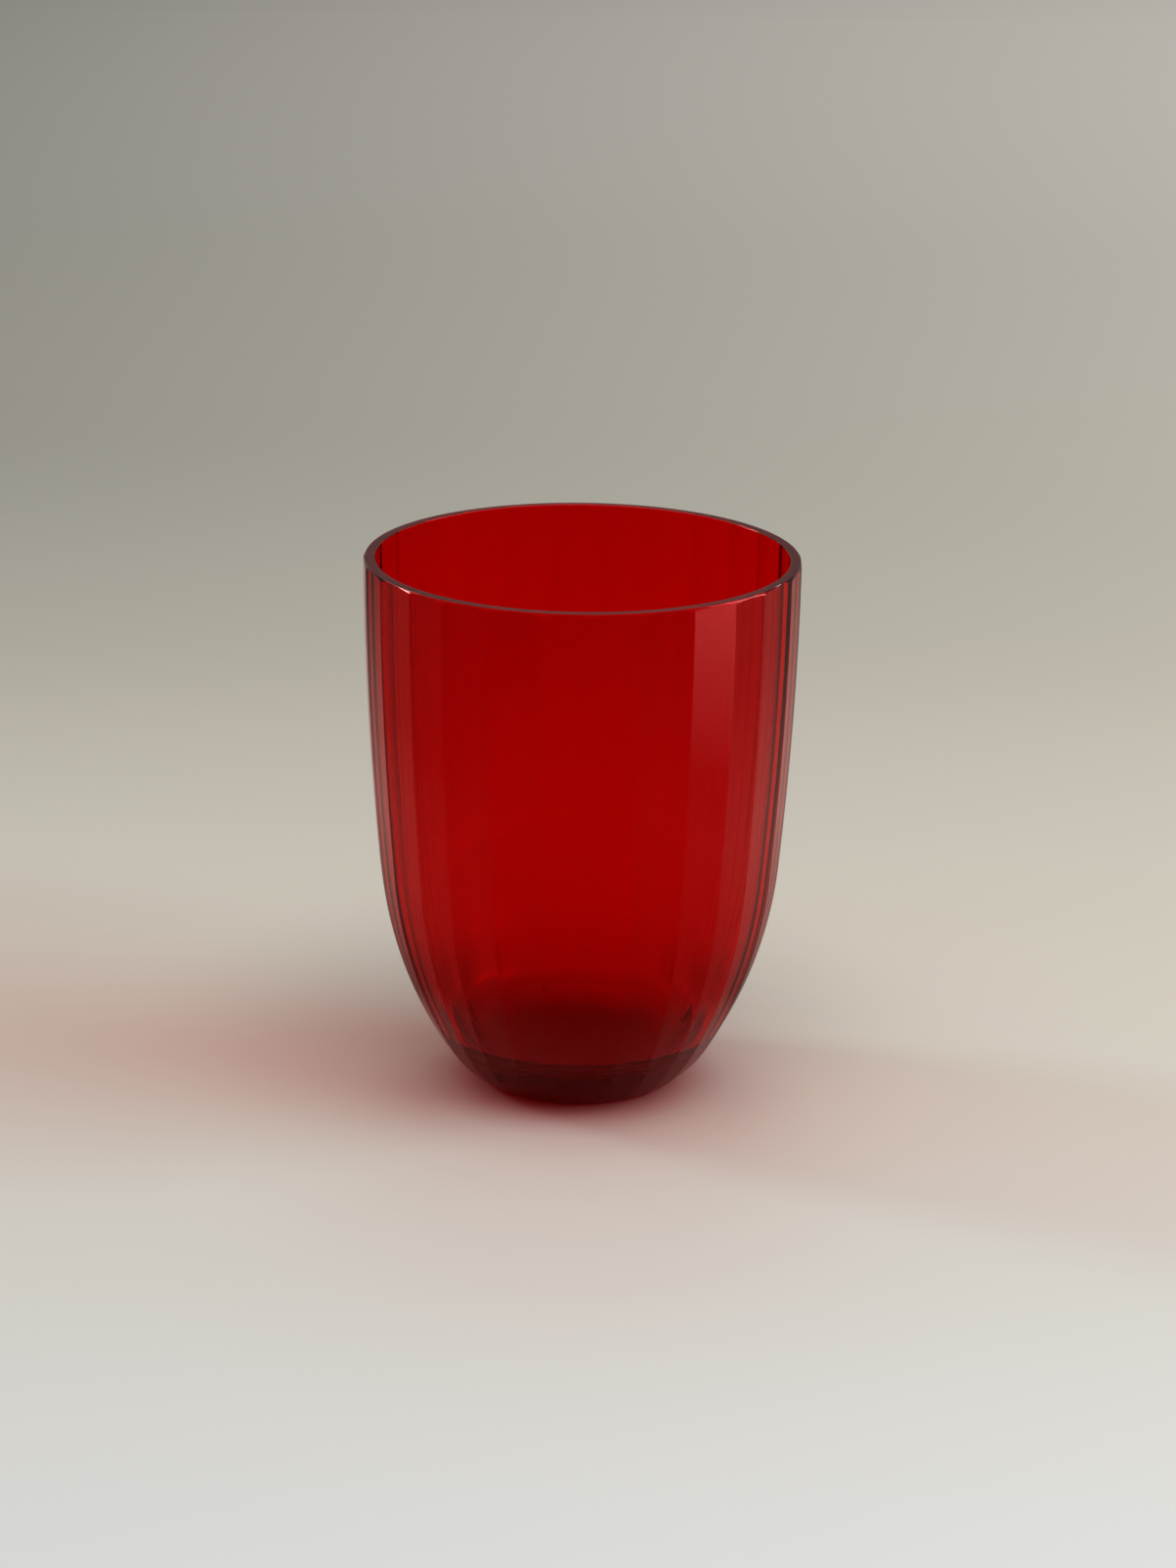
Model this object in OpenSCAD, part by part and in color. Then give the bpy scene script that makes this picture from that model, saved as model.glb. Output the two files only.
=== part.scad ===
// Juice glass: one piece of coloured glass, round and smooth inside, cut into flat upright
// facets outside. Millimetres, +Z up, origin at the middle of the foot, on the table.

/* [Glass] */
// Diameter of the rim, measured across the facet corners
rim_d = 72; // [60:1:90]
// Height from the table to the rim
glass_h = 90; // [75:1:120]
// Thickness of the wall at the rim, measured at a facet corner
wall_t = 2; // [1.4:0.1:3]
// Thickness of the glass in the middle of the base
base_t = 7; // [4:0.5:8]

/* [Facets] */
// Number of flat facets round the outside
facet_count = 27; // [16:1:40]
// Angle from +X to the first facet corner, in degrees
facet_turn = 5.6; // [0:0.1:13]

/* [Outside curve] */
// Height at which the long arc of the wall meets the arc of the belly
belly_h = 38; // [30:1:45]
// Height at which the arc of the belly meets the tight arc of the heel
heel_h = 7; // [5:0.5:10]
// Lean of the wall from upright at the rim, in degrees
rim_lean = 0.3; // [0:0.1:3]
// Lean of the wall at the belly height, in degrees
belly_lean = 5.5; // [4:0.5:8]
// Lean of the wall at the heel height, in degrees
heel_lean = 31.6; // [28:0.2:34]
// Lean of the wall where it meets the foot, in degrees
foot_lean = 56.5; // [45:0.5:60]

/* [Inside curve] */
// Height at which the wall of the hollow turns into its round floor
floor_h = 10.5; // [9:0.5:14]
// Lean of the hollow's wall at the belly height, in degrees
hollow_belly_lean = 5.8; // [4:0.2:8]
// Lean of the hollow's wall at the floor height, in degrees
hollow_floor_lean = 28.5; // [24:0.5:32]

/* [Ground edges] */
// Width of the bevel ground on the outside of the rim, measured at a facet corner
rim_bevel_w = 0.4; // [0.3:0.05:0.6]
// Height of that bevel, measured at a facet corner
rim_bevel_h = 0.55; // [0.3:0.05:1]
// Width and height of the bevel on the inside of the rim
lip_bevel = 0.15; // [0.1:0.05:0.4]
// Width of the bevel that the edge of the foot loses from its flat, measured at a corner
foot_bevel_w = 0.5; // [0.3:0.05:0.8]
// How far that bevel rises over the same width
foot_bevel_h = 0.15; // [0.1:0.01:0.2]

/* [Hidden] */
rim_r = rim_d / 2;
hollow_rim_r = rim_r - wall_t;
// How far a cutting shape runs past the glass
overrun = 1;
// Flat strips that stand for each arc of the outside and of the inside
strips_per_arc = 8;
// Points round the glass, for everything that is round
round_fn = 96;
facet_pitch = 360 / facet_count;
// The flat of a facet lies this share of the corner radius from the axis
flat_share = cos(facet_pitch / 2);

// Each curve is a chain of tangent arcs, from the rim down: [height, lean] at each joint
outside_joints = [
    [glass_h, rim_lean],
    [belly_h, belly_lean],
    [heel_h, heel_lean],
    [0, foot_lean]
];
hollow_joints = [
    [glass_h, rim_lean],
    [belly_h, hollow_belly_lean],
    [floor_h, hollow_floor_lean]
];

// Radius of the arc that joins two of those joints
function arc_r(a, b) = (a[0] - b[0]) / (sin(b[1]) - sin(a[1]));

// Radius of the glass at each joint, from the rim down
function joint_radii(joints, top_r, i = 0) =
    i == len(joints) - 1
    ? [top_r]
    : concat([top_r], joint_radii(joints, top_r - arc_drop(joints[i], joints[i + 1]), i + 1));
function arc_drop(a, b) = arc_r(a, b) * (cos(a[1]) - cos(b[1]));

// Points [radius, height] along one arc, from the joint a, of radius r, towards the joint b
function arc_points(a, b, r) = [
    for (s = [0 : strips_per_arc - 1])
    let (lean = a[1] + (b[1] - a[1]) * s / strips_per_arc)
    [r - arc_r(a, b) * (cos(a[1]) - cos(lean)), a[0] - arc_r(a, b) * (sin(lean) - sin(a[1]))]
];

// Points along a whole chain of arcs
function chain_points(joints, top_r) =
    let (radii = joint_radii(joints, top_r))
    concat(
        [for (i = [0 : len(joints) - 2]) each arc_points(joints[i], joints[i + 1], radii[i])],
        [[radii[len(radii) - 1], joints[len(joints) - 1][0]]]
    );

outside_points = chain_points(outside_joints, rim_r);
hollow_wall_points = chain_points(hollow_joints, hollow_rim_r);
foot_r = outside_points[len(outside_points) - 1][0];

// The floor of the hollow is a parabola: it leaves the wall along the wall's lean, and is
// level at the axis. Its corner is where those two directions meet.
floor_start = hollow_wall_points[len(hollow_wall_points) - 1];
floor_corner = [floor_start[0] - (floor_start[1] - base_t) * tan(hollow_floor_lean), base_t];
floor_points = [
    for (s = [1 : strips_per_arc])
    let (t = s / strips_per_arc)
    (1 - t) * (1 - t) * floor_start + 2 * t * (1 - t) * floor_corner + t * t * [0, base_t]
];

// A solid that is flat on one side, along the curve of the outside, and reaches well past
// the glass on the others. The glass is what all of them, turned round the axis, share.
module facet_side() {
    rotate([90, 0, 0])
        linear_extrude(height = 2 * rim_d, center = true)
            polygon(concat(
                [[-rim_d, glass_h]],
                [for (p = outside_points) [p[0] * flat_share, p[1]]],
                [[-rim_d, 0]]
            ));
}

module faceted_block() {
    intersection_for (i = [0 : facet_count - 1])
        rotate([0, 0, facet_turn + (i + 0.5) * facet_pitch])
            facet_side();
}

// What is drunk from: open at the rim, round all the way down
module hollow() {
    rotate_extrude($fn = round_fn)
        polygon(concat(
            [[0, glass_h + overrun], [hollow_rim_r, glass_h + overrun]],
            hollow_wall_points,
            floor_points
        ));
}

// Cuts the bevel round the outside of the rim. The cut starts one bevel above the rim and
// ends one bevel outside the glass, on one straight slope.
module rim_bevel_cut() {
    rotate_extrude($fn = round_fn)
        polygon([
            [rim_r - 2 * rim_bevel_w, glass_h + rim_bevel_h],
            [rim_r + rim_bevel_w, glass_h - 2 * rim_bevel_h],
            [rim_r + rim_bevel_w, glass_h + rim_bevel_h]
        ]);
}

// Cuts the bevel inside the lip
module lip_bevel_cut() {
    translate([0, 0, glass_h - lip_bevel])
        cylinder(
            h = 2 * lip_bevel,
            r1 = hollow_rim_r,
            r2 = hollow_rim_r + 2 * lip_bevel,
            $fn = round_fn
        );
}

// Cuts the flat bevel between the foot and the facets
module foot_bevel_cut() {
    rotate_extrude($fn = round_fn)
        polygon([
            [foot_r - 2 * foot_bevel_w, -foot_bevel_h],
            [foot_r + 2 * foot_bevel_w, -foot_bevel_h],
            [foot_r + 2 * foot_bevel_w, 3 * foot_bevel_h]
        ]);
}

module tumbler() {
    color([0.68, 0.02, 0.03, 0.75])
        difference() {
            faceted_block();
            hollow();
            rim_bevel_cut();
            lip_bevel_cut();
            foot_bevel_cut();
        }
}

tumbler();
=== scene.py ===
"""Looks of the juice glass: a tumbler of deep red glass on a pale cloth.

The glass is one piece of glass. Its outside is cut into flat upright facets that follow
one curve from the rim to the foot, and its inside is round. Everything is in metres, in
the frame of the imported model, with the foot on z = 0.
"""

import logging
import math
import random
from dataclasses import dataclass, field
from enum import Enum
from functools import reduce

import bmesh
import bpy
from mathutils import Matrix, Vector


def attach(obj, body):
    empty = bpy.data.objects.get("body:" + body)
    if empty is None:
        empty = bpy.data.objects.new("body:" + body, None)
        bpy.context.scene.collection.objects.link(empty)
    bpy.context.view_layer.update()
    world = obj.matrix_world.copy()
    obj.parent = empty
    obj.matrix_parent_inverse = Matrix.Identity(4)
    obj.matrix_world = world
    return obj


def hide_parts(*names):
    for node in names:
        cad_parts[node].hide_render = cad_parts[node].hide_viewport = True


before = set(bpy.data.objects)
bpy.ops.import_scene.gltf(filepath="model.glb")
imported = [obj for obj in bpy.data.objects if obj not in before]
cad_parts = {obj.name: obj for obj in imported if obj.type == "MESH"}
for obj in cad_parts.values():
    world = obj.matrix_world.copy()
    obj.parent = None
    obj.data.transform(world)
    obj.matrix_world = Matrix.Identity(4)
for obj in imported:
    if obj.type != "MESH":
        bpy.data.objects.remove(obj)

log = logging.getLogger("juice_glass")

MM = 0.001
WHOLE_TURN = 2 * math.pi
CUT_SEED = 27

Tree = bpy.types.NodeTree
Socket = bpy.types.NodeSocket
# The sockets of a node, by name
Sockets = bpy.types.bpy_prop_collection
# Both ends of a range
Span = tuple[float, float]
# A colour, or a value for each of X, Y and Z
Triple = tuple[float, float, float]
# Radius and height of a ring round the axis of the glass
Ring = tuple[float, float]
# What the input of a node takes: a plain value, or the socket it is linked to
Value = float | tuple[float, ...] | Socket
# (value, colour) of each stop of a ramp
Stops = tuple[tuple[float, Triple], ...]


class Surface(Enum):
    """The two skins of the glass, by the way their arcs are chained."""

    OUTSIDE = "outside"
    HOLLOW = "hollow"


class Lamp(Enum):
    """The soft lamps of the studio, by the part they play."""

    WINDOW = "window_right"
    FAR_WINDOW = "window_back_left"
    CEILING = "ceiling"


@dataclass(frozen=True)
class Joint:
    """A place where two arcs of a curve meet.

    Args:
        height: height above the table, in metres.
        lean: lean of the wall from upright there, in degrees.
    """

    height: float
    lean: float

    @property
    def angle(self) -> float:
        """The lean in radians."""
        return math.radians(self.lean)


@dataclass(frozen=True)
class ArcChain:
    """A curve of tangent arcs, from the rim down.

    Args:
        top_radius: radius at the rim, in metres.
        joints: where the arcs meet, from the rim down.
    """

    top_radius: float
    joints: tuple[Joint, ...]

    def points(self, step: float) -> list[Ring]:
        """Points along the curve.

        Args:
            step: the most that the lean may change between two points, in degrees, once
                the arc has its fewest points.

        Returns:
            A list of (radius, height), from the rim down.
        """
        fewest = 8
        radius = self.top_radius
        out = [(radius, self.joints[0].height)]
        for upper, lower in zip(self.joints[:-1], self.joints[1:]):
            rise = math.sin(lower.angle) - math.sin(upper.angle)
            arc = (upper.height - lower.height) / rise
            count = max(fewest, math.ceil((lower.lean - upper.lean) / step))
            for i in range(1, count + 1):
                lean = upper.angle + (lower.angle - upper.angle) * i / count
                out.append((
                    radius - arc * (math.cos(upper.angle) - math.cos(lean)),
                    upper.height - arc * (math.sin(lean) - math.sin(upper.angle)),
                ))
            radius = out[-1][0]
        return out


@dataclass
class GlassShape:
    """The sizes of the glass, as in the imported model.

    Args:
        rim_radius: radius at the rim, to a facet corner.
        height: height of the rim above the table.
        wall: thickness of the wall at the rim, at a facet corner.
        base: thickness of the glass in the middle of the base.
        facets: number of facets round the outside.
        first_corner: angle from +X to the first facet corner, in degrees.
        rim_lean: lean of the outside and of the hollow at the rim, in degrees.
        belly: where the long arc of the outside meets the arc of the belly.
        heel: where the arc of the belly meets the tight arc of the heel.
        foot_lean: lean of the outside where it meets the foot, in degrees.
        hollow_belly_lean: lean of the hollow's wall at the belly's height, in degrees.
        hollow_floor: where the hollow's wall turns into its round floor.
        rim_bevel_width: width of the bevel on the outside of the rim, at a facet corner.
        rim_bevel_height: height of that bevel, at a facet corner.
        lip_bevel: width and height of the bevel on the inside of the rim.
        foot_bevel_width: width that the bevel of the foot takes off its flat.
        foot_bevel_height: how far that bevel rises over the same width.
        cut_errors: how far some corners, counted from the first, are cut off their even
            place, in degrees.
        cut_spread: the most that any other corner is off, in degrees.
        true_corners: the corners that are cut in their even place.
    """

    rim_radius: float = 36.0 * MM
    height: float = 90.0 * MM
    wall: float = 2.0 * MM
    base: float = 7.0 * MM
    facets: int = 27
    first_corner: float = 5.6
    rim_lean: float = 0.3
    belly: Joint = Joint(38.0 * MM, 5.5)
    heel: Joint = Joint(7.0 * MM, 31.6)
    foot_lean: float = 56.5
    hollow_belly_lean: float = 5.8
    hollow_floor: Joint = Joint(10.5 * MM, 28.5)
    rim_bevel_width: float = 0.4 * MM
    rim_bevel_height: float = 0.55 * MM
    lip_bevel: float = 0.15 * MM
    foot_bevel_width: float = 0.5 * MM
    foot_bevel_height: float = 0.15 * MM
    cut_errors: tuple[tuple[int, float], ...] = (
        (14, -0.8), (15, -0.4), (16, 0.95), (17, -0.6),
        (22, 0.65), (23, 0.5), (24, -1.4), (25, 1.05),
    )
    cut_spread: float = 0.6
    true_corners: tuple[int, ...] = (0, 6, 13, 20)

    def corner_turns(self) -> list[float]:
        """How far each facet corner is off its even place, in radians."""
        known = dict(self.cut_errors) | dict.fromkeys(self.true_corners, 0.0)
        return [
            math.radians(known.get(i, random.uniform(-self.cut_spread, self.cut_spread)))
            for i in range(self.facets)
        ]

    @property
    def pitch(self) -> float:
        """The angle from one facet corner to the next, in radians."""
        return WHOLE_TURN / self.facets

    def curve(self, surface: Surface) -> ArcChain:
        """The curve of one skin.

        Args:
            surface: which skin.

        Returns:
            Its chain of arcs, from the rim down.
        """
        rim = Joint(self.height, self.rim_lean)
        if surface is Surface.OUTSIDE:
            foot = Joint(0.0, self.foot_lean)
            return ArcChain(self.rim_radius, (rim, self.belly, self.heel, foot))
        belly = Joint(self.belly.height, self.hollow_belly_lean)
        return ArcChain(self.rim_radius - self.wall, (rim, belly, self.hollow_floor))

    def floor_points(self, start: Ring, count: int) -> list[Ring]:
        """The round floor of the hollow, a parabola that ends level at the axis.

        Args:
            start: (radius, height) where the hollow's wall ends.
            count: number of points.

        Returns:
            A list of (radius, height), from the wall to the axis.
        """
        radius, height = start
        corner = radius - (height - self.base) * math.tan(self.hollow_floor.angle)
        out = []
        for i in range(1, count + 1):
            t = i / count
            out.append((
                (1 - t) ** 2 * radius + 2 * t * (1 - t) * corner,
                (1 - t) ** 2 * height + (1 - (1 - t) ** 2) * self.base,
            ))
        return out


def add_node(
    tree: Tree, kind: str, inputs: dict[str | int, Value], **settings: str
) -> bpy.types.Node:
    """Adds a node, sets it up and fills its inputs.

    Args:
        tree: the node tree.
        kind: type of the node.
        inputs: what each input takes, by the input's name or number.
        settings: the node's own settings, by name.

    Returns:
        The node.
    """
    node = tree.nodes.new(kind)
    for name, setting in settings.items():
        setattr(node, name, setting)
    for key, value in inputs.items():
        if isinstance(value, Socket):
            tree.links.new(value, node.inputs[key])
        else:
            node.inputs[key].default_value = value
    return node


def calculate(tree: Tree, operation: str, *values: Value) -> Socket:
    """Adds a Math node for a few numbers or sockets, and gives the socket of its result."""
    node = add_node(tree, "ShaderNodeMath", dict(enumerate(values)), operation=operation)
    return node.outputs["Value"]


def combine(tree: Tree, operation: str, *values: Value) -> Socket:
    """Combines any count of numbers or sockets, two at a time, by one operation."""
    return reduce(lambda one, other: calculate(tree, operation, one, other), values)


def vector_math(tree: Tree, operation: str, *vectors: Value) -> Sockets:
    """Adds a Vector Math node for a few vectors or sockets, and gives its outputs."""
    inputs = dict(enumerate(vectors))
    return add_node(tree, "ShaderNodeVectorMath", inputs, operation=operation).outputs


def scaled(tree: Tree, vector: Value, scale: Socket) -> Socket:
    """Adds a vector, or a colour, times a scale."""
    inputs = {"Vector": vector, "Scale": scale}
    return add_node(tree, "ShaderNodeVectorMath", inputs, operation="SCALE").outputs["Vector"]


def map_range(tree: Tree, value: Socket, source: Span, target: Span, **settings: str) -> Socket:
    """Adds a clamped Map Range node.

    Args:
        tree: the node tree.
        value: the socket that is mapped.
        source: the range it is read in.
        target: the range it is given.
        settings: the node's own settings, by name.

    Returns:
        The socket with the mapped value.
    """
    inputs = {
        "Value": value,
        "From Min": source[0],
        "From Max": source[1],
        "To Min": target[0],
        "To Max": target[1],
    }
    return add_node(tree, "ShaderNodeMapRange", inputs, **settings).outputs["Result"]


def colour_ramp(tree: Tree, value: Socket, span: Span, stops: Stops, blend: str) -> Socket:
    """Adds colours that follow a value.

    Args:
        tree: the node tree.
        value: the socket that picks the colour.
        span: the range of values that the ramp covers.
        stops: (value, colour) of each stop, in order.
        blend: how the ramp goes from one stop to the next.

    Returns:
        The socket with the colour.
    """
    start, end = span
    reach = map_range(tree, value, span, (0.0, 1.0))
    node = add_node(tree, "ShaderNodeValToRGB", {"Fac": reach})
    node.color_ramp.interpolation = blend
    elements = node.color_ramp.elements
    while len(elements) < len(stops):
        elements.new(0.5)
    for element, (place, colour) in zip(elements, stops):
        element.position = (place - start) / (end - start)
        element.color = (*colour, 1.0)
    return node.outputs["Color"]


def noise(tree: Tree, vector: Socket, scale: float, detail: float) -> Socket:
    """Adds a Noise Texture node and gives the socket with its level."""
    inputs = {"Vector": vector, "Scale": scale, "Detail": detail}
    return add_node(tree, "ShaderNodeTexNoise", inputs).outputs["Fac"]


def separate(tree: Tree, vector: Socket) -> Sockets:
    """Adds a Separate XYZ node and gives its outputs, X, Y and Z."""
    return add_node(tree, "ShaderNodeSeparateXYZ", {"Vector": vector}).outputs


def reach_from_axis(tree: Tree, place: Socket) -> Socket:
    """Adds the distance of a place from the glass's axis."""
    level = vector_math(tree, "MULTIPLY", place, (1.0, 1.0, 0.0))["Vector"]
    return vector_math(tree, "LENGTH", level)["Value"]


def object_place(tree: Tree) -> Socket:
    """Adds the place of the shaded point, in Object coordinates."""
    return tree.nodes.new("ShaderNodeTexCoord").outputs["Object"]


def light_path(tree: Tree) -> Sockets:
    """Adds a Light Path node and gives its outputs, which tell what kind of ray it is."""
    return tree.nodes.new("ShaderNodeLightPath").outputs


def empty_material(name: str) -> tuple[bpy.types.Material, bpy.types.Node]:
    """Makes a node material that holds nothing but its output.

    Args:
        name: its name.

    Returns:
        The material and its output node.
    """
    mat = bpy.data.materials.new(name)
    mat.use_nodes = True
    mat.node_tree.nodes.clear()
    return mat, mat.node_tree.nodes.new("ShaderNodeOutputMaterial")


@dataclass(frozen=True)
class RedGlass:
    """Glass coloured through, cut and polished.

    Args:
        name: name of the material.
        ior: index of refraction.
        depth_colour: colour in depth, which fades light by (1 - colour) * density a metre.
        density: strength of that fading, per metre.
        tint: what is left of each colour besides, each time the glass is crossed.
        face_tint: colour of a reflection seen straight on.
        shadow: share of the light to and from the cloth that each face lets through, not
            counting what the colour in depth takes.
        smear_roughness: roughness of the polished faces, clean and smeared.
        smear_levels: levels of the smears' noise between which it goes up.
        smear_scale: how many smears there are to a metre.
        smear_detail: detail of the smears.
        streak_scale: how many streaks there are to a metre.
        streak_detail: detail of the streaks.
        streak_squeeze: their scale up the glass, as a share of that across it.
        streak_strength: strength of the streaks.
        streak_depth: depth of the streaks.
        ground_above: height above which the faces are ground and not polished.
        ground_below: height below which they are.
        ground_fade: height over which the ground finish gives way to the polish.
        ground_roughness: roughness of the ground faces.
        floor_roughness: roughness of the hollow's floor, which no polish reached.
        floor_slope: how far the cone round the hazy floor widens as it rises.
        floor_edge: radii, at height zero, between which the haze at that cone ends.
        floor_from: heights between which the haze sets in.
        floor_to: heights between which it ends.
    """

    name: str = "red_glass"
    ior: float = 1.5
    depth_colour: Triple = (0.9857, 0.01, 0.03)
    density: float = 4200.0
    tint: Triple = (0.86, 0.86, 0.86)
    face_tint: Triple = (1.0, 0.02, 0.02)
    shadow: float = 0.955
    smear_roughness: Span = (0.03, 0.09)
    smear_levels: Span = (0.45, 0.75)
    smear_scale: float = 60.0
    smear_detail: float = 4.0
    streak_scale: float = 900.0
    streak_detail: float = 3.0
    streak_squeeze: float = 0.06
    streak_strength: float = 0.05
    streak_depth: float = 0.05 * MM
    ground_above: float = 89.93 * MM
    ground_below: float = 0.25 * MM
    ground_fade: float = 0.1 * MM
    ground_roughness: float = 0.45
    floor_roughness: float = 0.3
    floor_slope: float = 2.0
    floor_edge: Span = (1.6 * MM, 2.6 * MM)
    floor_from: Span = (5.0 * MM, 5.5 * MM)
    floor_to: Span = (9.0 * MM, 12.0 * MM)

    def material(self) -> bpy.types.Material:
        """Builds the node material.

        Returns:
            The new material.
        """
        mat, out = empty_material(self.name)
        tree = mat.node_tree
        shadow = (self.shadow, self.shadow, self.shadow, 1.0)
        clear = add_node(tree, "ShaderNodeBsdfTransparent", {"Color": shadow}).outputs["BSDF"]
        ray = light_path(tree)
        surface = self._glass(tree)
        for kind in ("Is Diffuse Ray", "Is Shadow Ray"):
            choice = {"Fac": ray[kind], 1: surface, 2: clear}
            surface = add_node(tree, "ShaderNodeMixShader", choice).outputs["Shader"]
        colour = {"Color": (*self.depth_colour, 1.0), "Density": self.density}
        depth = add_node(tree, "ShaderNodeVolumeAbsorption", colour).outputs["Volume"]
        tree.links.new(surface, out.inputs["Surface"])
        tree.links.new(depth, out.inputs["Volume"])
        return mat

    def _glass(self, tree: Tree) -> Socket:
        """Adds the shader of the faces.

        Args:
            tree: the node tree.

        Returns:
            The shader's socket.
        """
        place = object_place(tree)
        height = separate(tree, place)["Z"]
        ground = self._ground(tree, height)
        haze = self._floor_haze(tree, place, height)
        inputs = {
            "Base Color": (*self.tint, 1.0),
            "IOR": self.ior,
            "Transmission Weight": 1.0,
            "Specular Tint": (*self.face_tint, 1.0),
            "Roughness": combine(tree, "MAXIMUM", self._smears(tree, place), ground, haze),
            "Normal": self._streaks(tree, place),
        }
        return add_node(tree, "ShaderNodeBsdfPrincipled", inputs).outputs["BSDF"]

    def _streaks(self, tree: Tree, place: Socket) -> Socket:
        """Adds the faint upright streaks.

        Args:
            tree: the node tree.
            place: the place of the shaded point.

        Returns:
            The socket with the normals.
        """
        squeeze = {"Vector": place, "Scale": (1.0, 1.0, self.streak_squeeze)}
        squeezed = add_node(tree, "ShaderNodeMapping", squeeze).outputs["Vector"]
        bump = {
            "Strength": self.streak_strength,
            "Distance": self.streak_depth,
            "Height": noise(tree, squeezed, self.streak_scale, self.streak_detail),
        }
        return add_node(tree, "ShaderNodeBump", bump).outputs["Normal"]

    def _smears(self, tree: Tree, place: Socket) -> Socket:
        """Adds the roughness of the polished faces."""
        level = noise(tree, place, self.smear_scale, self.smear_detail)
        return map_range(tree, level, self.smear_levels, self.smear_roughness)

    def _ground(self, tree: Tree, height: Socket) -> Socket:
        """Adds the roughness of the ground rim and foot, which is zero between them.

        Args:
            tree: the node tree.
            height: the height of the shaded point.

        Returns:
            The socket with the roughness.
        """
        rim = (self.ground_above - self.ground_fade, self.ground_above)
        foot = (self.ground_below, self.ground_below + self.ground_fade)
        at_rim = map_range(tree, height, rim, (0.0, self.ground_roughness))
        at_foot = map_range(tree, height, foot, (self.ground_roughness, 0.0))
        return calculate(tree, "MAXIMUM", at_rim, at_foot)

    def _floor_haze(self, tree: Tree, place: Socket, height: Socket) -> Socket:
        """Adds the roughness of the hollow's floor, which lies inside a steep cone.

        Args:
            tree: the node tree.
            place: the place of the shaded point.
            height: its height.

        Returns:
            The socket with the roughness, which is zero on every other face.
        """
        reach = reach_from_axis(tree, place)
        cone = calculate(tree, "MULTIPLY_ADD", height, -self.floor_slope, reach)
        inside = map_range(tree, cone, self.floor_edge, (self.floor_roughness, 0.0))
        above = map_range(tree, height, self.floor_from, (0.0, 1.0))
        below = map_range(tree, height, self.floor_to, (1.0, 0.0))
        return combine(tree, "MULTIPLY", inside, above, below)


def deselect_all() -> None:
    """Leaves no object selected and none in edit mode."""
    if bpy.context.object and bpy.context.object.mode != "OBJECT":
        bpy.ops.object.mode_set(mode="OBJECT")
    bpy.ops.object.select_all(action="DESELECT")


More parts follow.
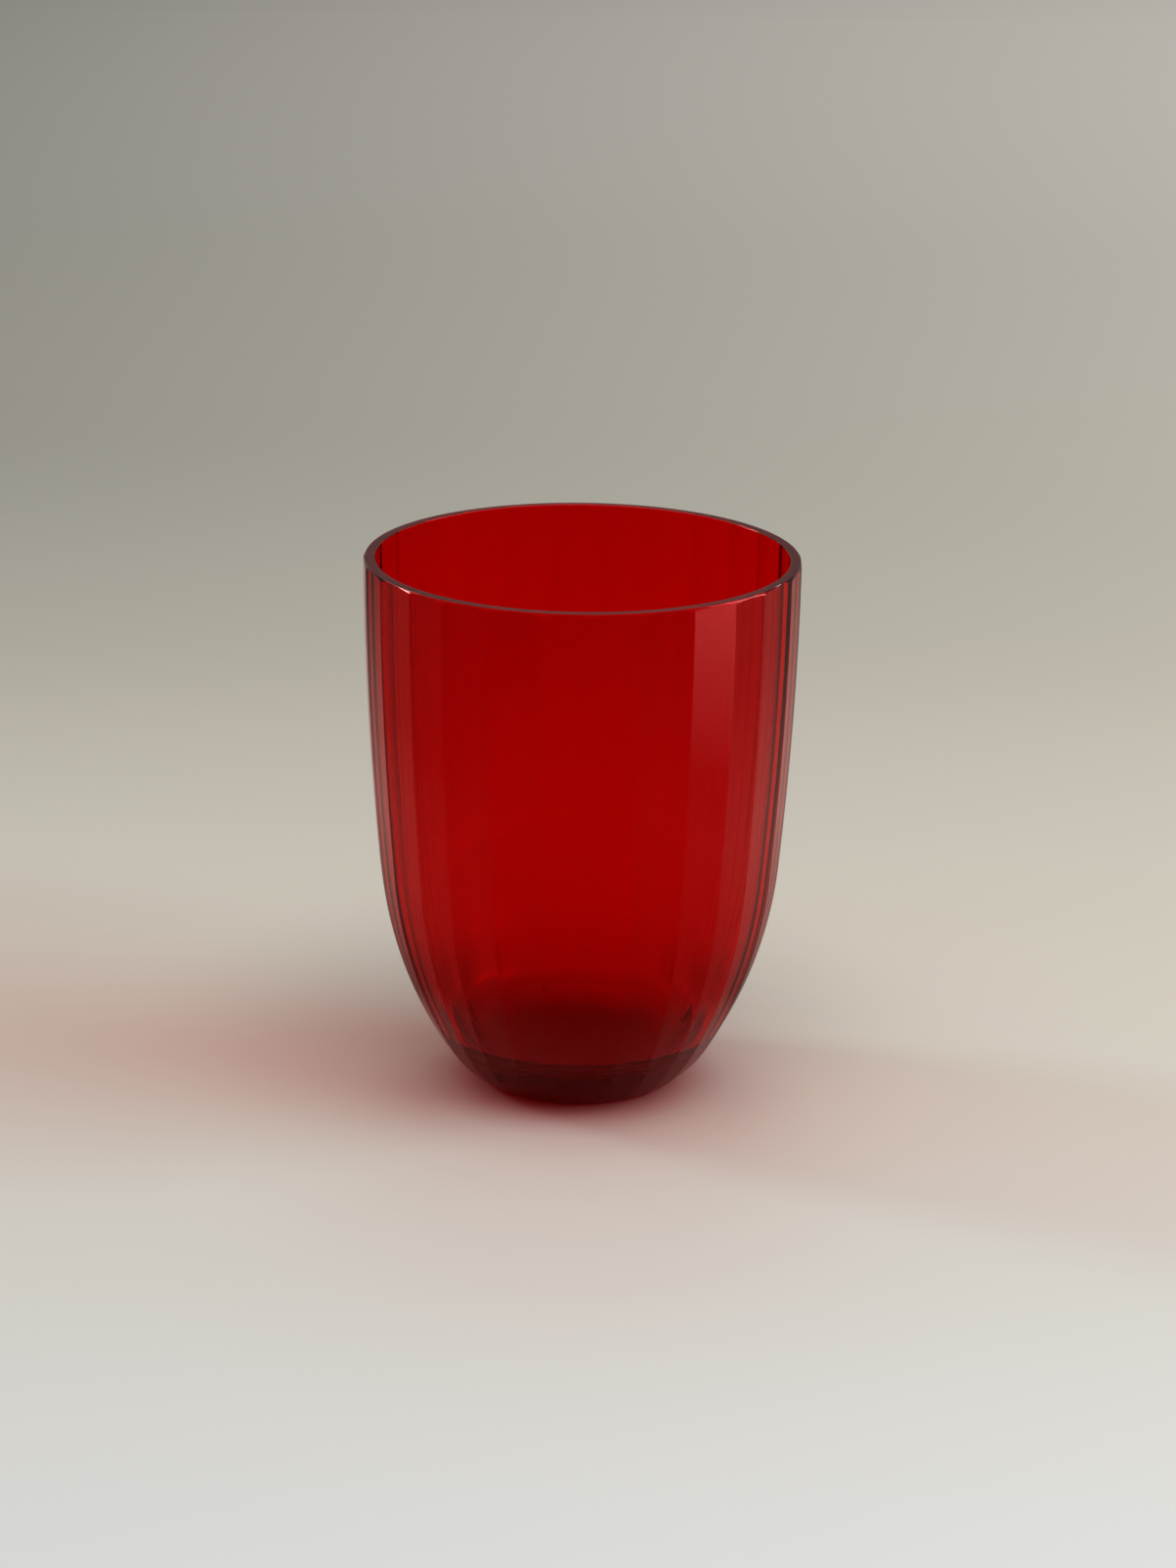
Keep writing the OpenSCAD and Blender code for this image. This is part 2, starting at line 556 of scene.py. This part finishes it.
@dataclass
class Tumbler:
    """The glass itself, built from the foot up and then down inside.

    Args:
        shape: its sizes.
        finish: its glass.
        corner_round: how far each facet corner is rounded along the flat.
        corner_steps: edges that make the round of a corner.
        flat_steps: edges along the flat of a facet.
        lean_step: the most that the wall's lean changes between two rings, in degrees.
        foot_margin: height below which the outside has no ring but its first.
        rim_margin: least height from a ground edge of the rim to the next ring.
        floor_steps: rings of the hollow's floor, its middle among them.
        foot_shares: radius of each ring in the foot's flat, as a share of the one round it.
        rim_round: how far the ground edges of the rim are softened.
        rim_steps: edges that make the round of such an edge.
        rim_band: how far below the rim they may lie.
        rim_fold: fold, in radians, from which an edge there is softened.
        smooth_fold: fold, in degrees, up to which two faces are shaded as one.
        flat_weight: how strongly the larger faces keep the shading flat.
    """

    shape: GlassShape = field(default_factory=GlassShape)
    finish: RedGlass = field(default_factory=RedGlass)
    corner_round: float = 0.09 * MM
    corner_steps: int = 3
    flat_steps: int = 5
    lean_step: float = 1.2
    foot_margin: float = 0.6 * MM
    rim_margin: float = 0.5 * MM
    floor_steps: int = 24
    foot_shares: tuple[float, ...] = (0.75, 0.5, 0.25)
    rim_round: float = 0.08 * MM
    rim_steps: int = 2
    rim_band: float = 1.0 * MM
    rim_fold: float = 0.35
    smooth_fold: float = 12.0
    flat_weight: int = 80

    def build(self) -> bpy.types.Object:
        """Models the glass and gives it its finish.

        Returns:
            The finished object, at the origin.
        """
        deselect_all()
        glass = self._outside()
        self._rim(glass)
        self._inside(glass)
        self._close(glass)
        self._shade(glass)
        glass.data.materials.clear()
        glass.data.materials.append(self.finish.material())
        return glass

    def _edit(self, glass: bpy.types.Object) -> bmesh.types.BMesh:
        """Gives the mesh under the cursor of the edit operators.

        Args:
            glass: the object in edit mode.

        Returns:
            Its edit mesh, with its tables up to date.
        """
        mesh = bmesh.from_edit_mesh(glass.data)
        mesh.verts.ensure_lookup_table()
        mesh.edges.ensure_lookup_table()
        return mesh

    def _double_ring(self) -> None:
        """Extrudes the selected ring and leaves the new one where it is."""
        bpy.ops.mesh.extrude_edges_move(TRANSFORM_OT_translate={"value": (0.0, 0.0, 0.0)})

    def _grow_rings(self, rings: list[Ring]) -> None:
        """Extrudes the selected ring to each new height and radius in turn.

        Args:
            rings: (radius, height) of the selected ring, and of each that grows from it.
        """
        for old, new in zip(rings[:-1], rings[1:]):
            bpy.ops.mesh.extrude_edges_move(
                TRANSFORM_OT_translate={"value": (0.0, 0.0, new[1] - old[1])}
            )
            share = new[0] / old[0]
            bpy.ops.transform.resize(
                value=(share, share, 1.0), center_override=(0.0, 0.0, new[1])
            )

    def _level_ring(self, glass: bpy.types.Object, radius: float, height: float) -> None:
        """Moves every selected corner to one radius and height, straight in or out.

        Args:
            glass: the object in edit mode.
            radius: the radius they are moved to.
            height: the height they are moved to.
        """
        mesh = self._edit(glass)
        for vert in (v for v in mesh.verts if v.select):
            flat = vert.co.to_2d().normalized() * radius
            vert.co = Vector((flat.x, flat.y, height))
        bmesh.update_edit_mesh(glass.data)

    def _draw_together(self) -> None:
        """Extrudes the selected ring and merges the new one into a point."""
        self._double_ring()
        bpy.ops.mesh.merge(type="CENTER")

    def _outside(self) -> bpy.types.Object:
        """Models the faceted outside, from the foot's bevel to the start of the rim's.

        Returns:
            The object, left in edit mode with its top ring selected.
        """
        rings = self.shape.curve(Surface.OUTSIDE).points(self.lean_step)[::-1]
        foot_radius = rings[0][0]
        bpy.ops.mesh.primitive_circle_add(
            vertices=self.shape.facets, radius=foot_radius, location=(0.0, 0.0, 0.0)
        )
        glass = bpy.context.object
        glass.name = glass.data.name = "faceted_tumbler"
        bpy.ops.object.mode_set(mode="EDIT")
        self._place_corners(glass)
        bpy.ops.mesh.select_all(action="SELECT")
        bpy.ops.mesh.bevel(
            offset=self.corner_round * foot_radius / self.shape.rim_radius,
            offset_type="OFFSET",
            segments=self.corner_steps,
            affect="VERTICES",
        )
        self._cut_flats(glass, foot_radius)
        bpy.ops.mesh.select_all(action="SELECT")
        top = self.shape.height - self.shape.rim_bevel_height
        above = [ring for ring in rings if self.foot_margin < ring[1] < top - self.rim_margin]
        self._grow_rings([rings[0], *above, (self._outside_radius(top), top)])
        return glass

    def _place_corners(self, glass: bpy.types.Object) -> None:
        """Turns each corner of the first ring to where it was cut.

        Args:
            glass: the object in edit mode, a plain polygon.
        """
        shape = self.shape
        first = math.radians(shape.first_corner)
        turns = shape.corner_turns()
        mesh = self._edit(glass)
        start = math.atan2(mesh.verts[0].co.y, mesh.verts[0].co.x)
        for vert in mesh.verts:
            angle = math.atan2(vert.co.y, vert.co.x) - start
            number = round(angle / shape.pitch) % shape.facets
            place = first + number * shape.pitch + turns[number]
            radius = vert.co.to_2d().length
            vert.co = Vector((radius * math.cos(place), radius * math.sin(place), 0.0))
        bmesh.update_edit_mesh(glass.data)

    def _outside_radius(self, height: float) -> float:
        """The radius of the glass's corners at a height near the rim."""
        ring = self.shape.curve(Surface.OUTSIDE).points(self.lean_step)[1]
        return ring[0] + (self.shape.rim_radius - ring[0]) * (
            (height - ring[1]) / (self.shape.height - ring[1])
        )

    def _cut_flats(self, glass: bpy.types.Object, radius: float) -> None:
        """Divides the flat of each facet in the first ring.

        Args:
            glass: the object in edit mode.
            radius: radius of the ring.
        """
        mesh = self._edit(glass)
        half_facet = radius * self.shape.pitch / 2
        bpy.ops.mesh.select_all(action="DESELECT")
        for edge in mesh.edges:
            if edge.calc_length() > half_facet:
                edge.select_set(True)
        bmesh.update_edit_mesh(glass.data)
        bpy.ops.mesh.subdivide(number_cuts=self.flat_steps - 1)

    def _rim(self, glass: bpy.types.Object) -> None:
        """Grinds the bevel round the rim and lays its flat top and lip.

        Args:
            glass: the object in edit mode, with its top ring selected.
        """
        shape = self.shape
        top = shape.height
        mesh = self._edit(glass)
        cone = shape.rim_bevel_height / shape.rim_bevel_width
        for vert in (v for v in mesh.verts if v.select):
            inside = shape.rim_radius - vert.co.to_2d().length
            vert.co.z = top - shape.rim_bevel_height + inside * cone
        bmesh.update_edit_mesh(glass.data)
        self._double_ring()
        flat = shape.rim_radius - shape.rim_bevel_width
        self._level_ring(glass, flat, top)
        hollow = shape.rim_radius - shape.wall
        lip = hollow + shape.lip_bevel
        below = top - shape.lip_bevel
        self._grow_rings([(flat, top), ((flat + lip) / 2, top), (lip, top), (hollow, below)])

    def _inside(self, glass: bpy.types.Object) -> None:
        """Models the hollow, from the lip down to its floor.

        Args:
            glass: the object in edit mode, with the lip's ring selected.
        """
        shape = self.shape
        lip = (shape.rim_radius - shape.wall, shape.height - shape.lip_bevel)
        wall = shape.curve(Surface.HOLLOW).points(self.lean_step)
        wall = [ring for ring in wall if ring[1] < lip[1] - self.rim_margin]
        floor = shape.floor_points(wall[-1], self.floor_steps)
        self._grow_rings([lip, *wall, *floor[:-1]])
        self._draw_together()
        self._level_ring(glass, 0.0, shape.base)

    def _close(self, glass: bpy.types.Object) -> None:
        """Lays the flat foot and its bevel.

        Args:
            glass: the object in edit mode.
        """
        mesh = self._edit(glass)
        bpy.ops.mesh.select_all(action="DESELECT")
        for edge in mesh.edges:
            if edge.is_boundary:
                edge.select_set(True)
        bmesh.update_edit_mesh(glass.data)
        rings = [(self._foot_bevel(glass), 0.0)]
        for share in self.foot_shares:
            rings.append((rings[-1][0] * share, 0.0))
        self._grow_rings(rings)
        self._draw_together()
        bpy.ops.mesh.select_all(action="SELECT")
        bpy.ops.mesh.normals_make_consistent(inside=False)
        self._round_rim(glass)
        bpy.ops.object.mode_set(mode="OBJECT")

    def _foot_bevel(self, glass: bpy.types.Object) -> float:
        """Lifts the edge of the foot to the bevel's slope and grows the bevel inwards.

        Args:
            glass: the object in edit mode, with its lowest ring selected.

        Returns:
            Radius of the flat that the glass stands on.
        """
        shape = self.shape
        foot_radius = shape.curve(Surface.OUTSIDE).points(self.lean_step)[-1][0]
        flat = foot_radius - shape.foot_bevel_width
        slope = shape.foot_bevel_height / shape.foot_bevel_width
        wall = math.tan(math.radians(shape.foot_lean))
        mesh = self._edit(glass)
        for vert in (v for v in mesh.verts if v.select):
            radius = vert.co.to_2d().length
            rise = slope * (radius - flat) / (1 - slope * wall)
            edge = vert.co.to_2d().normalized() * (radius + wall * rise)
            vert.co = Vector((edge.x, edge.y, rise))
        bmesh.update_edit_mesh(glass.data)
        self._double_ring()
        self._level_ring(glass, flat, 0.0)
        return flat

    def _round_rim(self, glass: bpy.types.Object) -> None:
        """Softens the ground edges of the rim.

        Args:
            glass: the object in edit mode.
        """
        mesh = self._edit(glass)
        bpy.ops.mesh.select_all(action="DESELECT")
        lowest = self.shape.height - self.rim_band
        for edge in mesh.edges:
            above = min(v.co.z for v in edge.verts) > lowest
            if above and edge.calc_face_angle(0.0) > self.rim_fold:
                edge.select_set(True)
        bmesh.update_edit_mesh(glass.data)
        bpy.ops.mesh.bevel(
            offset=self.rim_round,
            offset_type="OFFSET",
            segments=self.rim_steps,
            affect="EDGES",
        )

    def _shade(self, glass: bpy.types.Object) -> None:
        """Shades the walls smooth and keeps the ground edges and the flats crisp.

        Args:
            glass: the object.
        """
        deselect_all()
        glass.select_set(True)
        bpy.context.view_layer.objects.active = glass
        bpy.ops.object.shade_smooth_by_angle(angle=math.radians(self.smooth_fold))
        weigh = glass.modifiers.new("flat_facets", "WEIGHTED_NORMAL")
        weigh.keep_sharp = True
        weigh.weight = self.flat_weight
        bpy.ops.object.modifier_apply(modifier=weigh.name)
        deselect_all()


@dataclass(frozen=True)
class PaleCloth:
    """The cloth's pale colour, with light and shade painted into it.

    Painted shade makes the cloth greyer behind than in front, and painted light and shade make
    the far cloth lighter to the right. A painted red glow and shade round the foot, and a
    painted soft shade behind the glass, come on top of the red shadow that rays through the
    glass give by themselves. Reflections in the glass and views through it see the cloth with
    painted shade of their own. Distances are from the glass's axis unless another place is
    named.

    Args:
        name: name of the material.
        roughness: roughness of the weave.
        gloss: its specular level.
        front: Y at which the run of colour and painted shade starts.
        back: Y at which it ends.
        colours_and_falloff: (Y, colour) along the cloth, its pale colour with painted shade that
            makes it greyer behind than in front.
        side_light_width: X between which painted light makes the far cloth lighter to the right.
        lean: how much painted shade and light it has at those two places.
        side_light_depth: Y between which that painted light and shade sets in.
        glow_place: middle of the painted red glow and shade round the foot.
        glow_reach: distance from there at which they end.
        glow_counts: how much a step along each axis counts in the distance from there.
        glow_and_shade_colours: (that distance, colour) of the painted glow and shade.
        shade_place: middle of the painted soft shade behind the glass.
        shade_reach: distance from there at which the shade ends.
        shade_depth: share of the light that is left in its middle.
        mirror_shade: what a reflection in the glass keeps of the cloth's colour, a painted red shade.
        mirrored_near: share of that which it keeps in the ring near the glass, as painted shade.
        mirror_inner: distances between which that ring sets in.
        mirror_outer: distances between which it ends.
        mirror_left: places left of the glass between which the painted shade in reflections fades out.
        mirror_left_level: share that reflections keep at the first of them.
        mirror_skew: how far that edge slants with Y.
        mirror_right: X between which the painted shade in reflections sets in again.
        mirror_right_level: share that they keep at the second of them.
        through: share of the cloth's light that is seen through the glass, in a ring where
        painted shade takes the rest.
        through_inner: distances between which that ring sets in.
        through_outer: distances between which it ends.
        through_sides: distances left and right of the axis between which it sets in.
    """

    name: str = "pale_cloth"
    roughness: float = 0.95
    gloss: float = 0.1
    front: float = -0.20
    back: float = 1.20
    # Pale cloth colour with painted shade: greyer behind than in front
    colours_and_falloff: Stops = (
        (-0.18, (0.749, 0.765, 0.772)),
        (-0.10, (0.697, 0.694, 0.666)),
        (-0.03, (0.667, 0.647, 0.594)),
        (0.07, (0.62, 0.592, 0.531)),
        (0.13, (0.583, 0.559, 0.503)),
        (0.23, (0.496, 0.473, 0.420)),
        (0.35, (0.427, 0.415, 0.371)),
        (0.51, (0.413, 0.400, 0.360)),
        (0.80, (0.462, 0.450, 0.420)),
        (1.19, (0.570, 0.555, 0.523)),
    )
    # Painted light and shade: the far cloth lighter to the right, darker to the left
    side_light_width: Span = (-0.25, 0.25)
    lean: Span = (-0.30, 0.30)
    side_light_depth: Span = (0.12, 0.45)
    # Painted red glow and contact shade round the foot
    glow_place: Triple = (0.0, -1.5 * MM, 0.0)
    glow_reach: float = 70.0 * MM
    glow_counts: Triple = (1.0, 0.88, 1.0)
    glow_and_shade_colours: Stops = (
        (10.0 * MM, (0.2, 0.06, 0.08)),
        (14.5 * MM, (0.35, 0.11, 0.13)),
        (18.0 * MM, (0.64, 0.36, 0.38)),
        (21.6 * MM, (0.79, 0.63, 0.66)),
        (26.0 * MM, (0.89, 0.81, 0.83)),
        (38.0 * MM, (0.98, 0.96, 0.96)),
        (60.0 * MM, (1.0, 1.0, 1.0)),
    )
    # Painted soft shade behind the glass
    shade_place: Triple = (-8.0 * MM, 30.0 * MM, 0.0)
    shade_reach: float = 75.0 * MM
    shade_depth: float = 0.66
    # Painted red shade on the cloth, seen only in reflections in the glass
    mirror_shade: Triple = (0.95, 0.65, 0.65)
    mirrored_near: float = 0.35
    mirror_inner: Span = (28.0 * MM, 45.0 * MM)
    mirror_outer: Span = (50.0 * MM, 150.0 * MM)
    mirror_left: Span = (-0.19, -0.095)
    mirror_left_level: float = 0.35
    mirror_skew: float = 0.117
    mirror_right: Span = (0.115, 0.24)
    mirror_right_level: float = 0.5
    # Painted shade on the cloth where it is seen through the glass
    through: float = 0.7
    through_inner: Span = (34.0 * MM, 40.0 * MM)
    through_outer: Span = (52.0 * MM, 72.0 * MM)
    through_sides: Span = (16.0 * MM, 28.0 * MM)

    def material(self) -> bpy.types.Material:
        """Builds the node material.

        Returns:
            The new material.
        """
        mat = bpy.data.materials.new(self.name)
        mat.use_nodes = True
        tree = mat.node_tree
        shader = tree.nodes["Principled BSDF"].inputs
        shader["Roughness"].default_value = self.roughness
        shader["Specular IOR Level"].default_value = self.gloss
        ray = light_path(tree)
        place = object_place(tree)
        axes = separate(tree, place)
        reached = reach_from_axis(tree, place)
        # Painted shade and light: through the glass, behind it, and from left to right
        lost = self._lost_through(tree, axes["X"], reached)
        lost = calculate(tree, "MULTIPLY", ray["Is Transmission Ray"], lost)
        kept = calculate(tree, "SUBTRACT", 1.0, lost)
        share = combine(tree, "MULTIPLY", self._painted_side_light(tree, axes), self._shade(tree, place), kept)
        plain = scaled(tree, self._colour_and_painted_falloff(tree, axes["Y"]), share)
        # Reflections in the glass see the cloth with painted red shade; other rays see the painted glow
        # and shade round the foot
        dimmed = {
            "Factor": calculate(tree, "MULTIPLY", ray["Is Glossy Ray"], ray["Is Reflection Ray"]),
            "A": vector_math(tree, "MULTIPLY", plain, self._painted_glow_and_shade(tree, place))["Vector"],
            "B": self._painted_mirror_shade(tree, axes, reached),
        }
        dim = add_node(tree, "ShaderNodeMix", dimmed, data_type="RGBA", blend_type="MULTIPLY")
        tree.links.new(dim.outputs["Result"], shader["Base Color"])
        return mat

    def _ring(self, tree: Tree, reached: Socket, edges: tuple[Span, Span], level: float) -> Socket:
        """Adds a ring round the glass, with a level of its own and 1 all about it.

        Args:
            tree: the node tree.
            reached: distance from the axis.
            edges: the distances over which the ring sets in, and over which it ends.
            level: its level.

        Returns:
            The socket with the level.
        """
        inner = map_range(tree, reached, edges[0], (1.0, level))
        outer = map_range(tree, reached, edges[1], (level, 1.0))
        return calculate(tree, "MAXIMUM", inner, outer)

    def _colour_and_painted_falloff(self, tree: Tree, depth: Socket) -> Socket:
        """Adds the cloth's pale colour with painted shade, greyer behind than in front."""
        return colour_ramp(tree, depth, (self.front, self.back), self.colours_and_falloff, "CARDINAL")

    def _painted_side_light(self, tree: Tree, axes: Sockets) -> Socket:
        """Adds painted light and shade that make the far cloth lighter from left to right.

        Args:
            tree: the node tree.
            axes: X, Y and Z of the shaded point.

        Returns:
            The socket with the share of light, which is 1 near the glass.
        """
        side = map_range(tree, axes["X"], self.side_light_width, self.lean)
        far = map_range(tree, axes["Y"], self.side_light_depth, (0.0, 1.0))
        return calculate(tree, "MULTIPLY_ADD", side, far, 1.0)

    def _shade(self, tree: Tree, place: Socket) -> Socket:
        """Adds the painted soft shade behind the glass.

        Args:
            tree: the node tree.
            place: the place of the shaded point.

        Returns:
            The socket with the share of light that is left.
        """
        behind = vector_math(tree, "DISTANCE", place, self.shade_place)["Value"]
        reach = (0.0, self.shade_reach)
        left = (self.shade_depth, 1.0)
        return map_range(tree, behind, reach, left, interpolation_type="SMOOTHSTEP")

    def _painted_glow_and_shade(self, tree: Tree, place: Socket) -> Socket:
        """Adds the painted red glow and shade round the foot.

        Args:
            tree: the node tree.
            place: the place of the shaded point.

        Returns:
            The socket with its colour.
        """
        counts = [1 / count for count in self.glow_counts]
        inputs = {"Vector": place, "Location": self.glow_place, "Scale": counts}
        around = add_node(tree, "ShaderNodeMapping", inputs, vector_type="TEXTURE")
        distance = vector_math(tree, "LENGTH", around.outputs["Vector"])["Value"]
        return colour_ramp(tree, distance, (0.0, self.glow_reach), self.glow_and_shade_colours, "B_SPLINE")

    def _lost_through(self, tree: Tree, across: Socket, reached: Socket) -> Socket:
        """Adds the share of light that painted shade takes where the glass is looked through.

        Args:
            tree: the node tree.
            across: X of the shaded point.
            reached: its distance from the axis.

        Returns:
            The socket with the share.
        """
        ring = self._ring(tree, reached, (self.through_inner, self.through_outer), self.through)
        aside = calculate(tree, "ABSOLUTE", across)
        sides = map_range(tree, aside, self.through_sides, (0.0, 1.0))
        return calculate(tree, "MULTIPLY", calculate(tree, "SUBTRACT", 1.0, ring), sides)

    def _painted_mirror_shade(self, tree: Tree, axes: Sockets, reached: Socket) -> Socket:
        """Adds the painted red shade that reflections in the glass give the cloth.

        Args:
            tree: the node tree.
            axes: X, Y and Z of the shaded point.
            reached: its distance from the axis.

        Returns:
            The socket with the share of each colour.
        """
        edge = calculate(tree, "MULTIPLY_ADD", axes["Y"], self.mirror_skew, axes["X"])
        left = map_range(tree, edge, self.mirror_left, (self.mirror_left_level, 1.0))
        right = map_range(tree, axes["X"], self.mirror_right, (1.0, self.mirror_right_level))
        edges = (self.mirror_inner, self.mirror_outer)
        close = self._ring(tree, reached, edges, self.mirrored_near)
        return scaled(tree, self.mirror_shade, combine(tree, "MULTIPLY", left, right, close))


@dataclass(frozen=True)
class LitCard:
    """The finish of the card, which shines more towards its right and hides nothing.

    Args:
        name: name of the material.
        colour: colour of its light.
        light: its strength where it is strongest.
        full_share: share of the card's half width at which that is reached.
    """

    name: str = "lit_card"
    colour: Triple = (1.0, 0.94, 0.88)
    light: float = 3.0
    full_share: float = 0.6

    def material(self, half_width: float) -> bpy.types.Material:
        """Builds the node material.

        Args:
            half_width: half the width of the card.

        Returns:
            The new material.
        """
        mat, out = empty_material(self.name)
        tree = mat.node_tree
        across = separate(tree, object_place(tree))["X"]
        reach = (-half_width, half_width * self.full_share)
        level = map_range(tree, across, reach, (0.0, self.light))
        glow = {"Color": (*self.colour, 1.0), "Strength": level}
        light = add_node(tree, "ShaderNodeEmission", glow).outputs["Emission"]
        clear = add_node(tree, "ShaderNodeBsdfTransparent", {}).outputs["BSDF"]
        both = add_node(tree, "ShaderNodeAddShader", {0: light, 1: clear}).outputs["Shader"]
        tree.links.new(both, out.inputs["Surface"])
        return mat


@dataclass(frozen=True)
class LampPlace:
    """Where a soft lamp hangs, and how large and strong it is.

    Args:
        azimuth: angle round the glass from the camera's side, in degrees to the right.
        height: height above the cloth.
        reach: level distance from the glass's axis.
        width: width of its face.
        depth: depth of its face.
        power: its power in watts.
    """

    azimuth: float
    height: float
    reach: float
    width: float
    depth: float
    power: float


LAMP_PLACES = {
    Lamp.WINDOW: LampPlace(azimuth=82.0, height=0.50, reach=1.05, width=1.20, depth=0.60, power=12.5),
    Lamp.FAR_WINDOW: LampPlace(azimuth=247.0, height=0.60, reach=1.15, width=0.30, depth=0.30, power=4.3),
    Lamp.CEILING: LampPlace(azimuth=180.0, height=1.10, reach=0.85, width=0.60, depth=0.60, power=1.6),
}


@dataclass
class Studio:
    """The cloth, the light and the camera.

    Args:
        cloth: finish of the cloth.
        cloth_half: half the width of the cloth.
        cloth_drop: how far it lies below the foot.
        card: finish of the card.
        card_box: lowest and highest (X, Y) of the card.
        card_lift: how far the card lies above the table.
        room_colour: colour of the room's light.
        room_low: strength of the room's light near the horizon.
        room_high: its strength overhead.
        room_rise: rises of a ray between which it goes from one to the other.
        horizon: its strength at the horizon as the glass shows it, like the cloth's.
        horizon_fade: rises of a ray between which that fades.
        lamp_colour: colour of the lamps.
        lamp_aim: the place that the lamps are aimed at, in the belly of the glass.
        eye: where the camera stands.
        lens: its focal length in millimetres.
        sensor: the long side of its picture in millimetres.
        pan: how far it looks to the right, in degrees.
        pitch: how far it looks down, in degrees.
        roll: how far it is rolled, in degrees.
    """

    cloth: PaleCloth = field(default_factory=PaleCloth)
    cloth_half: float = 4.0
    cloth_drop: float = 0.1 * MM
    card: LitCard = field(default_factory=LitCard)
    card_box: tuple[tuple[float, float], tuple[float, float]] = ((0.165, -0.125), (0.36, -0.005))
    card_lift: float = 0.5 * MM
    room_colour: Triple = (0.80, 0.78, 0.74)
    room_low: float = 0.18
    room_high: float = 0.76
    room_rise: Span = (0.25, 0.9)
    horizon: float = 0.48
    horizon_fade: Span = (0.08, 0.25)
    lamp_colour: Triple = (1.0, 0.985, 0.955)
    lamp_aim: Triple = (0.0, 0.0, 0.04)
    eye: Triple = (0.0, -0.7555, 0.2904)
    lens: float = 109.5
    sensor: float = 36.0
    pan: float = 0.10
    pitch: float = 17.591
    roll: float = 0.741

    def build(self) -> bpy.types.Object:
        """Lays the cloth, hangs the lamps and sets up the camera.

        Returns:
            The cloth.
        """
        self._camera()
        self._world()
        for lamp in Lamp:
            self._lamp(lamp)
        self._card()
        return self._cloth()

    def _camera(self) -> None:
        """Sets up the camera at the photograph's angle."""
        data = bpy.data.cameras.new("camera")
        data.lens = self.lens
        data.sensor_width = self.sensor
        camera = bpy.data.objects.new("camera", data)
        bpy.context.scene.collection.objects.link(camera)
        turn = (
            Matrix.Rotation(-math.radians(self.pan), 4, "Z")
            @ Matrix.Rotation(math.radians(90.0 - self.pitch), 4, "X")
            @ Matrix.Rotation(math.radians(self.roll), 4, "Z")
        )
        camera.matrix_world = Matrix.Translation(self.eye) @ turn
        bpy.context.scene.camera = camera

    def _world(self) -> None:
        """Lights the room, dimmer near the horizon than overhead."""
        world = bpy.data.worlds.new("room")
        bpy.context.scene.world = world
        world.use_nodes = True
        tree = world.node_tree
        back = tree.nodes["Background"]
        back.inputs["Color"].default_value = (*self.room_colour, 1.0)
        rise = separate(tree, tree.nodes.new("ShaderNodeTexCoord").outputs["Generated"])["Z"]
        level = map_range(tree, rise, self.room_rise, (self.room_low, self.room_high))
        ray = light_path(tree)
        glass = calculate(tree, "MAXIMUM", ray["Is Glossy Ray"], ray["Is Transmission Ray"])
        horizon = map_range(tree, rise, self.horizon_fade, (self.horizon, 0.0))
        pale = calculate(tree, "MULTIPLY", glass, horizon)
        tree.links.new(calculate(tree, "MAXIMUM", level, pale), back.inputs["Strength"])

    def _lamp(self, lamp: Lamp) -> None:
        """Hangs one soft lamp, aimed at the glass's belly and not seen through the glass.

        Args:
            lamp: which lamp.
        """
        place = LAMP_PLACES[lamp]
        data = bpy.data.lights.new(lamp.value, "AREA")
        data.shape = "ELLIPSE"
        data.size = place.width
        data.size_y = place.depth
        data.energy = place.power
        data.color = self.lamp_colour
        light = bpy.data.objects.new(lamp.value, data)
        bpy.context.scene.collection.objects.link(light)
        light.visible_transmission = False
        turn = math.radians(place.azimuth)
        spot = Vector((math.sin(turn) * place.reach, -math.cos(turn) * place.reach, place.height))
        light.location = spot
        light.rotation_mode = "QUATERNION"
        light.rotation_quaternion = (Vector(self.lamp_aim) - spot).to_track_quat("-Z", "Y")

    def _card(self) -> bpy.types.Object:
        """Lays a bright card on the cloth at the right, which only reflections show.

        Returns:
            The card.
        """
        deselect_all()
        low, high = self.card_box
        middle = ((low[0] + high[0]) / 2, (low[1] + high[1]) / 2, self.card_lift)
        bpy.ops.mesh.primitive_plane_add(size=1.0, location=middle)
        card = bpy.context.object
        card.name = card.data.name = "card"
        bpy.ops.object.mode_set(mode="EDIT")
        bpy.ops.transform.resize(value=(high[0] - low[0], high[1] - low[1], 1.0))
        bpy.ops.object.mode_set(mode="OBJECT")
        for ray in ("camera", "diffuse", "transmission", "shadow", "volume_scatter"):
            setattr(card, f"visible_{ray}", False)
        card.data.materials.append(self.card.material((high[0] - low[0]) / 2))
        return card

    def _cloth(self) -> bpy.types.Object:
        """Lays the pale cloth that the glass stands on.

        Returns:
            The cloth.
        """
        deselect_all()
        bpy.ops.mesh.primitive_plane_add(
            size=2 * self.cloth_half, location=(0.0, 0.0, -self.cloth_drop)
        )
        cloth = bpy.context.object
        cloth.name = cloth.data.name = "cloth"
        cloth.data.materials.append(self.cloth.material())
        return cloth


def main() -> None:
    """Builds the glass and the studio in order."""
    logging.basicConfig(level=logging.INFO, format="%(name)s: %(message)s")
    random.seed(CUT_SEED)
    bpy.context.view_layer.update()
    scene = bpy.context.scene
    scene.view_settings.view_transform = "Standard"
    scene.cycles.caustics_refractive = False
    scene.cycles.caustics_reflective = False
    studio = Studio()
    cloth = studio.build()
    log.info("studio ready")
    glass = Tumbler().build()
    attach(glass, "root")
    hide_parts("tumbler")
    log.info("%s: %d faces", glass.name, len(glass.data.polygons))


if __name__ == "__main__":
    main()
